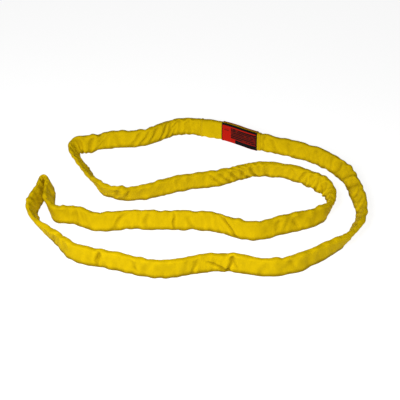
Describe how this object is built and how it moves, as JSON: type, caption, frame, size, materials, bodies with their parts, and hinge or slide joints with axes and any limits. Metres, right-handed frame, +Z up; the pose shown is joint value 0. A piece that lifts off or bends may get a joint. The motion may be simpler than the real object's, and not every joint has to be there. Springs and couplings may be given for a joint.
{
  "type": "round sling",
  "caption": "Endless polyester round sling laid as a doubled loop: woven double cover over parallel yarn core, with sewn tag.",
  "frame": {"origin": "on the floor under the middle of the laid-out sling's bounding box", "axes": "+X along the laid loop's length, towards its double bight; +Z up from the floor, across the standing band"},
  "size_m": [0.8106, 0.5552, 0.0494],
  "materials": {
    "outer_cover": "matte woven polyester sleeve, saturated yellow, slight sheen",
    "inner_cover": "matte woven polyester liner sleeve",
    "core_yarn": "loose parallel polyester filament yarn, off-white",
    "cover_thread": "waxed polyester sewing thread, brownish yellow",
    "tag_border": "black coated flexible tag material, satin",
    "tag_panel": null,
    "tag_thread": "black polyester sewing thread",
    "core_tape": "thin adhesive tape"
  },
  "bodies": {
    "mid_section": {"outer_cover_back_strand": "outer_cover", "inner_cover_back_strand": "inner_cover", "core_yarns_back_strand": "core_yarn", "outer_cover_front_strand": "outer_cover", "inner_cover_front_strand": "inner_cover", "core_yarns_front_strand": "core_yarn", "outer_cover_middle_strand": "outer_cover", "inner_cover_middle_strand": "inner_cover", "core_yarns_middle_strand": "core_yarn", "outer_cover_inner_back_strand": "outer_cover", "inner_cover_inner_back_strand": "inner_cover", "core_yarns_inner_back_strand": "core_yarn", "cover_overlap_cuff": "outer_cover", "cuff_stitching": "cover_thread", "tag_backing": "tag_border", "tag_face": "tag_panel", "tag_stitching": "tag_thread", "core_end_tape": "core_tape"},
    "right_bight": {"outer_cover_outer_bend": "outer_cover", "inner_cover_outer_bend": "inner_cover", "core_yarns_outer_bend": "core_yarn", "outer_cover_inner_bend": "outer_cover", "inner_cover_inner_bend": "inner_cover", "core_yarns_inner_bend": "core_yarn"},
    "front_eye": {"outer_cover_front_eye": "outer_cover", "inner_cover_front_eye": "inner_cover", "core_yarns_front_eye": "core_yarn"},
    "back_eye": {"outer_cover_back_eye": "outer_cover", "inner_cover_back_eye": "inner_cover", "core_yarns_back_eye": "core_yarn"}
  },
  "joints": [
    {"name": "back_eye_lift", "type": "hinge", "parent": "mid_section", "child": "back_eye", "pos_m": [-0.205, 0.1, 0.049], "axis": [0, 1, 0], "range_deg": [0, 90]},
    {"name": "front_eye_lift", "type": "hinge", "parent": "mid_section", "child": "front_eye", "pos_m": [-0.205, -0.17, 0.049], "axis": [0, 1, 0], "range_deg": [0, 90]},
    {"name": "right_bight_lift", "type": "hinge", "parent": "mid_section", "child": "right_bight", "pos_m": [0.195, 0, 0.049], "axis": [0, -1, 0], "range_deg": [0, 90]}
  ]
}
